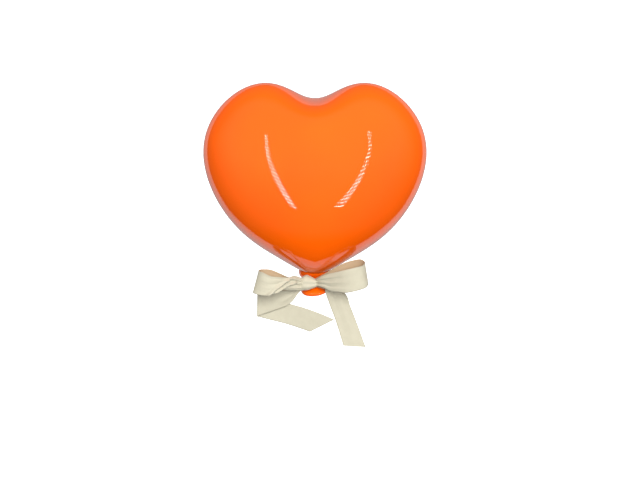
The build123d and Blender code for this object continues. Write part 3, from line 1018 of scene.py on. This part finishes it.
def neck_turn(size):
    """The turn of ribbon round the neck, a little uneven as hands leave it."""
    low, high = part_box("neck_band")
    inner = (high.x - low.x) / 2 - BAND_FOLDS * FOLD_GAP * MM
    middle = Vector((CENTRE.x, CENTRE.y, (low.z + high.z) / 2))
    half = (high.z - low.z) / 2
    bm = bmesh.new()
    verts = [bm.verts.new(middle + Vector((r, 0, z)) * MM) for r, z in band_profile(inner, half)]
    strip = [bm.edges.new(pair) for pair in zip(verts, verts[1:])]
    bmesh.ops.spin(
        bm, geom=verts + strip, cent=middle, axis=(0, 0, 1), angle=FULL_TURN, steps=96, use_merge=True
    )
    bmesh.ops.recalc_face_normals(bm, faces=bm.faces)
    band_cloth(bm, middle, inner, half, size.width)
    for vert in bm.verts:
        spoke = vert.co - middle
        turn = math.atan2(spoke.y, spoke.x)
        outwards = Vector((spoke.x, spoke.y, 0)).normalized()
        vert.co += outwards * 0.00006 * math.sin(17 * turn + 900 * spoke.z)
        vert.co.z += 0.0002 * math.sin(5 * turn)
    cloth = satin("ribbon_band_satin", size.colour, size.shade, size.width)
    band = new_piece(bm, "ribbon_band", cloth, sharp=80.0)
    body = band.modifiers.new("body", "SOLIDIFY")
    body.thickness = BAND_THICKNESS
    body.offset = 0.0
    return settle(band)


class ORNAMENT_OT_knot(bpy.types.Operator):
    """Build the wrap over the middle of the bow and the folded turn round the neck."""

    bl_idname = "ornament.knot"
    bl_label = "Build Knot"

    def execute(self, context):
        knot = satin_piece(
            context,
            "ribbon_knot",
            "bow_knot",
            KNOT,
            KNOT_FLAT,
            gathers=2.5,
            wrap=KNOT_WRAP,
            along=90,
            across=48,
        )
        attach(knot, "balloon")

        size = context.scene.ornament_ribbon
        band = neck_turn(size)
        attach(band, "balloon")
        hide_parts("neck_band")
        return {"FINISHED"}


# ---------------------------------------------------------------- hanger


class ORNAMENT_OT_hanger(bpy.types.Operator):
    """Finish the strap and ring, and build the screws and the clear pads."""

    bl_idname = "ornament.hanger"
    bl_label = "Build Hanger and Pads"

    def execute(self, context):
        look = context.scene.ornament_hanger
        for node, slot, grain in (
            ("hanger_strap", "strap_steel", (300.0, 300.0, 4000.0)),
            ("hanger_ring", "ring_steel", (2500.0, 2500.0, 900.0)),
        ):
            dress(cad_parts[node], plated_steel(slot, look.steel, grain), 35)

        steel = plated_steel("screw_steel", look.steel, (3000.0, 300.0, 3000.0))
        low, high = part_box("hanger_screws")
        radius = (high.x - low.x) / 2
        seat_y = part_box("hanger_strap")[0].y + STRAP_THICKNESS
        parts = []
        for z in (low.z + radius, high.z - radius):
            seat = Vector(((low.x + high.x) / 2, seat_y, z))
            parts.append(screw(seat, radius, high.y - seat_y, low.y, steel))
        bpy.ops.object.select_all(action="DESELECT")
        for part in parts:
            part.select_set(True)
        context.view_layer.objects.active = parts[0]
        bpy.ops.object.join()
        screws = parts[0]
        screws.name = "cross_screws"
        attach(screws, "balloon")
        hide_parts("hanger_screws")

        clear = clear_pad("bumper_pad", look.pad_colour)
        pads_low, pads_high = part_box("wall_bumpers")
        bm = bmesh.new()
        for x, z in pad_places():
            place = Vector((x, (pads_low.y + pads_high.y) / 2, z))
            corners = add_disc(bm, place, PAD_RADIUS, pads_high.y - pads_low.y)
            rim = {e for v in corners for e in v.link_edges if all(w.co.y > place.y for w in e.verts)}
            bmesh.ops.bevel(
                bm, geom=list(rim), offset=PAD_BEVEL, segments=5, profile=0.5, affect="EDGES", material=-1
            )
        pads = new_piece(bm, "clear_pads", clear)
        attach(pads, "balloon")
        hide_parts("wall_bumpers")
        return {"FINISHED"}


def screw(seat, radius, height, tip_y, material):
    """Pan-head screw with a cross recess, its head towards the wall."""
    bm = bmesh.new()
    profile = (
        (0.0, height), (0.35, height * 0.985), (0.62, height * 0.93), (0.84, height * 0.78),
        (0.97, height * 0.5), (1.0, height * 0.22), (0.98, 0.0), (0.46, 0.0), (0.46, tip_y - seat.y),
        (0.3, tip_y - seat.y), (0.0, tip_y - seat.y),
    )
    verts = [bm.verts.new(seat + Vector((r * radius, y, 0))) for r, y in profile]
    edges = [bm.edges.new(pair) for pair in zip(verts, verts[1:])]
    bmesh.ops.spin(
        bm, geom=verts + edges, cent=seat, axis=(0, 1, 0), angle=FULL_TURN, steps=48, use_merge=True
    )
    bmesh.ops.remove_doubles(bm, verts=bm.verts, dist=1e-7)
    bmesh.ops.recalc_face_normals(bm, faces=bm.faces)
    piece = new_piece(bm, "screw", material)
    arms = []
    for size in ((0.62, 0.2), (0.2, 0.62)):
        half = Vector((radius * size[0], RECESS_DEPTH, radius * size[1]))
        middle = seat + Vector((0, height, 0))
        arms.append(rounded_block("arm", middle - half, middle + half, 0.0001))
    carve(piece, arms, "DIFFERENCE")
    dress(piece, material, 35)
    return piece


# ---------------------------------------------------------------- stage


def lamp_row(bm, outer, inner, count, thickness, middle):
    """One row of strip lamps between two lines, each turned towards the ornament."""
    rails = [[Vector(p) for p in line] for line in (outer, inner)]
    places = [0.0, 1 / 3, 2 / 3, 1.0]
    for i in range(count):
        u = min(i / (count - 1), 0.9999)
        a, b = (curve_at(rail, places, u) for rail in rails)
        across = (b - a).normalized()
        to_heart = (middle - (a + b) / 2).normalized()
        side = across.cross(to_heart).normalized()
        face = Matrix((across, side, across.cross(side))).transposed().to_4x4()
        size = Matrix.Diagonal(((b - a).length / 2, thickness / 2, 1, 1))
        bmesh.ops.create_grid(
            bm, x_segments=1, y_segments=1, size=1.0, matrix=Matrix.Translation((a + b) / 2) @ face @ size
        )


class ORNAMENT_OT_stage(bpy.types.Operator):
    """Build the floor, the light and the camera."""

    bl_idname = "ornament.stage"
    bl_label = "Build Stage"

    def execute(self, context):
        look = context.scene.ornament_stage
        scene = context.scene
        scene.view_settings.view_transform = "Standard"

        target = Vector((TARGET_ASIDE, CENTRE.y, CENTRE.z - TARGET_DROP))
        camera = bpy.data.objects.new("camera", bpy.data.cameras.new("camera"))
        camera.data.lens = look.lens
        away = Vector((0, -math.cos(look.elevation), math.sin(look.elevation)))
        camera.location = target + away * look.distance
        camera.rotation_euler = (math.pi / 2 - look.elevation, 0, 0)
        scene.collection.objects.link(camera)
        scene.camera = camera

        material, shader, nodes = new_material("pale_floor")
        nodes.fill(
            shader,
            Base_Color=(0.9, 0.9, 0.9, 1),
            Roughness=0.9,
            Emission_Color=(1, 1, 1, 1),
            Emission_Strength=0.8,
        )
        bm = bmesh.new()
        ground = Matrix.Translation((0, 0, FLOOR_HEIGHT))
        bmesh.ops.create_grid(bm, x_segments=1, y_segments=1, size=FLOOR_REACH, matrix=ground)
        floor = new_piece(bm, "floor", material)
        floor.visible_glossy = False
        floor.visible_diffuse = False
        floor.visible_transmission = False

        sun = bpy.data.objects.new("key", bpy.data.lights.new("key", "SUN"))
        sun.data.energy = look.key
        sun.data.angle = math.radians(KEY_SPREAD)
        sun.rotation_euler = Vector(KEY_FROM).to_track_quat("Z", "Y").to_euler()
        sun.visible_glossy = False
        scene.collection.objects.link(sun)

        material, shader, nodes = new_material("strip_lamps")
        nodes.fill(
            shader,
            Base_Color=(0, 0, 0, 1),
            Emission_Color=(1.0, 0.97, 0.9, 1),
            Emission_Strength=look.lamp,
        )
        bm = bmesh.new()
        for outer, inner, count in LAMP_ROWS:
            lamp_row(bm, outer, inner, count, LAMP_THICKNESS, CENTRE)
        lamps = new_piece(bm, "strip_lamps", material)
        lamps.visible_camera = False
        lamps.visible_diffuse = False
        lamps.visible_shadow = False

        self.room(scene)
        return {"FINISHED"}

    def room(self, scene):
        """Surroundings: a white sweep behind and below, a dim room in front, pale to the eye."""
        world = bpy.data.worlds.new("room")
        world.use_nodes = True
        scene.world = world
        world.node_tree.nodes.clear()
        nodes = Nodes(world.node_tree)
        maths = nodes.maths
        spread = nodes.spread

        way = nodes.add("ShaderNodeTexCoord").outputs["Generated"]
        split = nodes.add("ShaderNodeSeparateXYZ", Vector=way)
        x, y, z = (split.outputs[axis] for axis in "XYZ")
        aside = maths("ABSOLUTE", x)
        down = maths("MULTIPLY", z, -1.0)
        # The sweep is bright behind and right underneath, and narrower straight above.
        fall = maths("MULTIPLY", maths("MINIMUM", z, 0.0), -0.2)
        inward = maths("ADD", maths("MULTIPLY", aside, -1.0), 1.0)
        rise = maths("MULTIPLY", maths("MULTIPLY", maths("MAXIMUM", z, 0.0), inward), -0.35)
        below = maths("MAXIMUM", maths("SUBTRACT", down, 0.78), 0.0)
        below = maths("MULTIPLY", maths("MULTIPLY", below, below), 8.0)
        corner = maths("MULTIPLY", maths("MAXIMUM", maths("SUBTRACT", down, 0.6), 0.0), aside)
        sweep = maths("ADD", maths("MULTIPLY", y, 0.94), maths("MULTIPLY", aside, 0.15))
        for part in (fall, rise, below, corner):
            sweep = maths("ADD", sweep, part)
        edge = spread(sweep, 0.6, 0.64)
        # The dim side of the room is brighter in front and above, and dark towards the table.
        front = spread(y, 0.1, -0.5, 0.12, 0.5)
        above = spread(z, -0.8, 0.8, 0.3, 1.7)
        table = spread(z, -0.87, -0.75, 0.05, 1.0)
        dim = maths("MINIMUM", maths("MULTIPLY", maths("MULTIPLY", front, above), table), 0.5)
        glow = spread(y, 0.55, 0.97, 1.2, 0.5)
        level = nodes.between(edge, dim, glow)
        # Seen directly the room is plain white, and its light and shade only show in the gloss.
        direct = nodes.add("ShaderNodeLightPath").outputs["Is Camera Ray"]
        strength = nodes.between(direct, level, 1.0)
        light = nodes.add("ShaderNodeBackground", Strength=strength, Color=(1, 1, 1, 1))
        nodes.add("ShaderNodeOutputWorld", Surface=light.outputs["Background"])


class ORNAMENT_PT_panel(bpy.types.Panel):
    """Sidebar panel that lists the builders and their settings."""

    bl_idname = "ORNAMENT_PT_panel"
    bl_label = "Heart Balloon Ornament"
    bl_space_type = "VIEW_3D"
    bl_region_type = "UI"
    bl_category = "Ornament"

    def draw(self, context):
        for group in SETTINGS:
            box = self.layout.box()
            settings = getattr(context.scene, group)
            for name in settings.bl_rna.properties.keys():
                if name not in ("rna_type", "name"):
                    box.prop(settings, name)
        for builder in BUILDERS:
            self.layout.operator(builder.bl_idname)


SETTINGS = {
    "ornament_heart": ORNAMENT_PG_heart,
    "ornament_ribbon": ORNAMENT_PG_ribbon,
    "ornament_hanger": ORNAMENT_PG_hanger,
    "ornament_stage": ORNAMENT_PG_stage,
}
BUILDERS = (
    ORNAMENT_OT_shells,
    ORNAMENT_OT_neck,
    ORNAMENT_OT_knot,
    ORNAMENT_OT_loops,
    ORNAMENT_OT_tails,
    ORNAMENT_OT_hanger,
    ORNAMENT_OT_stage,
)


def register():
    """Adds the settings, the builders and the panel to Blender."""
    for kind in (*SETTINGS.values(), *BUILDERS, ORNAMENT_PT_panel):
        bpy.utils.register_class(kind)
    for name, kind in SETTINGS.items():
        setattr(bpy.types.Scene, name, bpy.props.PointerProperty(type=kind))


def unregister():
    """Takes them out again."""
    for name in SETTINGS:
        delattr(bpy.types.Scene, name)
    for kind in reversed((*SETTINGS.values(), *BUILDERS, ORNAMENT_PT_panel)):
        bpy.utils.unregister_class(kind)


def main():
    """Builds the ornament and its stage."""
    register()
    bpy.ops.ornament.shells()
    bpy.ops.ornament.neck()
    bpy.ops.ornament.knot()
    bpy.ops.ornament.loops()
    bpy.ops.ornament.tails()
    bpy.ops.ornament.hanger()
    bpy.ops.ornament.stage()


if __name__ == "__main__":
    main()
